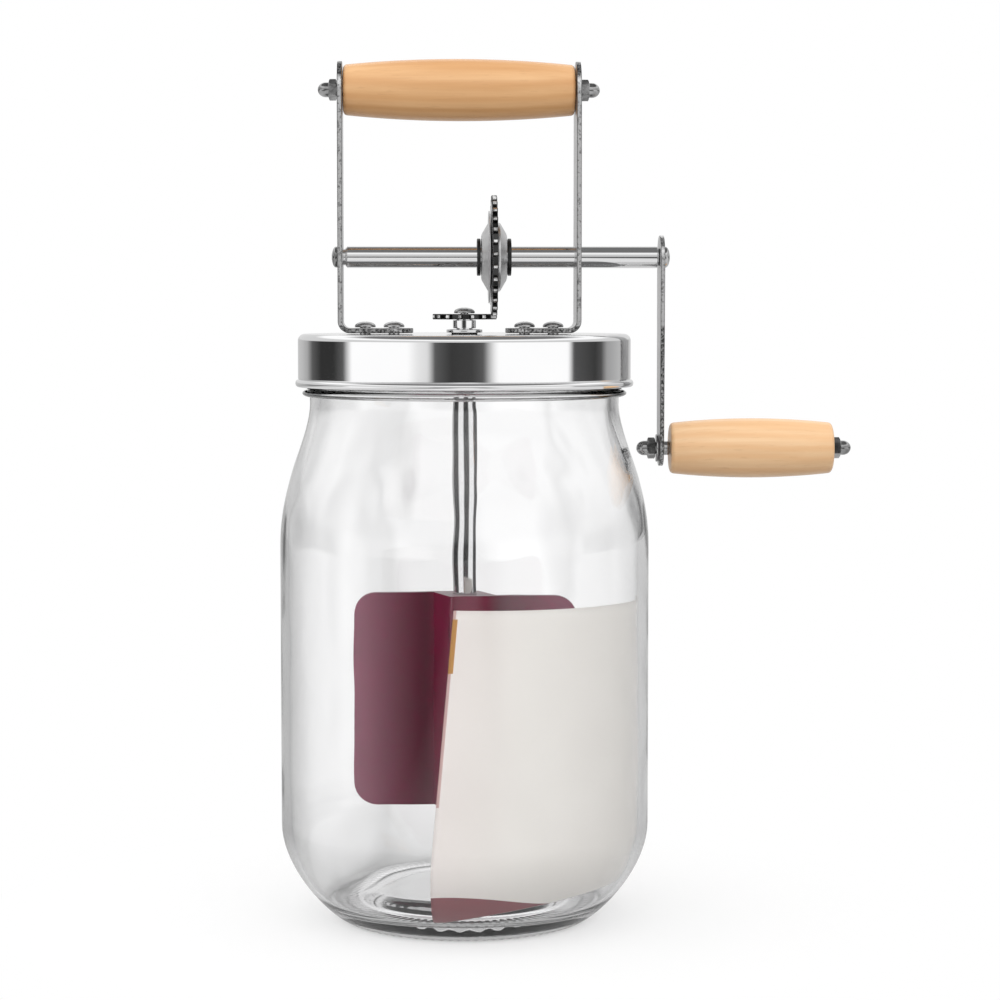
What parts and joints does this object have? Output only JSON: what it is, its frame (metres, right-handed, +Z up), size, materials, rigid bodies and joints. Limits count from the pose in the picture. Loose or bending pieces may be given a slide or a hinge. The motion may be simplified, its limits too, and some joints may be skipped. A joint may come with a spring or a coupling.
{
  "type": "hand-cranked butter churn",
  "caption": "Clear glass jar with a steel screw lid that carries a wooden carrying grip, a crank with a wooden grip, a gear pair and a burgundy paddle for churning cream.",
  "frame": {"origin": "centre of the jar's flat underside", "axes": "+Z up along the jar's axis, +X towards the crank, -Y towards the front"},
  "size_m": [0.2121, 0.1366, 0.3177],
  "materials": {
    "clear_glass": "clear and glossy",
    "polished_steel": "polished",
    "strap_steel": "satin",
    "bright_hardware": "plated and bright",
    "dark_ring": "blackened",
    "turned_wood": "smooth and clear lacquered",
    "burgundy_plastic": "moulded, half gloss",
    "seal_rubber": "soft white",
    "bare_paper": "matt card"
  },
  "bodies": {
    "jar": {"glass_jar": "clear_glass", "leaflet": "bare_paper"},
    "seal": {"lid_seal": "seal_rubber"},
    "lid": {"lid_cap": "polished_steel", "left_bracket": "strap_steel", "right_bracket": "strap_steel", "foot_screw_1": "bright_hardware", "foot_screw_2": "bright_hardware", "foot_screw_3": "bright_hardware", "foot_screw_4": "bright_hardware", "foot_nut_1": "bright_hardware", "foot_nut_2": "bright_hardware", "foot_nut_3": "bright_hardware", "foot_nut_4": "bright_hardware", "lid_bush": "polished_steel", "bush_nut": "polished_steel", "tie_rod": "bright_hardware", "top_nut_left": "bright_hardware", "top_nut_right": "bright_hardware"},
    "top_grip": {"top_grip": "turned_wood"},
    "crank": {"crank_shaft": "polished_steel", "shaft_screw": "bright_hardware", "crank_screw": "bright_hardware", "drive_gear": "strap_steel", "gear_hub_left": "strap_steel", "gear_hub_right": "strap_steel", "hub_ring_left": "dark_ring", "hub_ring_right": "dark_ring", "crank_arm": "strap_steel", "crank_washer": "bright_hardware", "crank_pin": "bright_hardware", "crank_nut_inner": "bright_hardware", "crank_nut_outer": "bright_hardware", "pin_spacer": "bright_hardware"},
    "crank_grip": {"crank_grip": "turned_wood"},
    "agitator": {"agitator_shaft": "polished_steel", "pinion_sleeve": "polished_steel", "pinion": "strap_steel", "pinion_screw": "bright_hardware", "paddle": "burgundy_plastic"}
  },
  "joints": [
    {"name": "lid_lift", "type": "slide", "parent": "jar", "child": "seal", "axis": [0, 0, 1], "range_m": [0, 0.185]},
    {"name": "lid_turn", "type": "hinge", "parent": "seal", "child": "lid", "pos_m": [0, 0, 0.2165], "axis": [0, 0, 1], "range_deg": [0, 360]},
    {"name": "crank_turn", "type": "hinge", "parent": "lid", "child": "crank", "pos_m": [0, 0, 0.2453], "axis": [1, 0, 0], "continuous": true},
    {"name": "agitator_turn", "type": "hinge", "parent": "lid", "child": "agitator", "pos_m": [0, 0, 0.2224], "axis": [0, 0, 1], "continuous": true},
    {"name": "crank_grip_spin", "type": "hinge", "parent": "crank", "child": "crank_grip", "pos_m": [0.0762, 0, 0.1747], "axis": [1, 0, 0], "continuous": true},
    {"name": "top_grip_spin", "type": "hinge", "parent": "lid", "child": "top_grip", "pos_m": [-0.0019, 0, 0.3064], "axis": [1, 0, 0], "continuous": true}
  ],
  "couplings": [
    {"joint": "agitator_turn", "follows": "crank_turn", "ratio": 2}
  ]
}
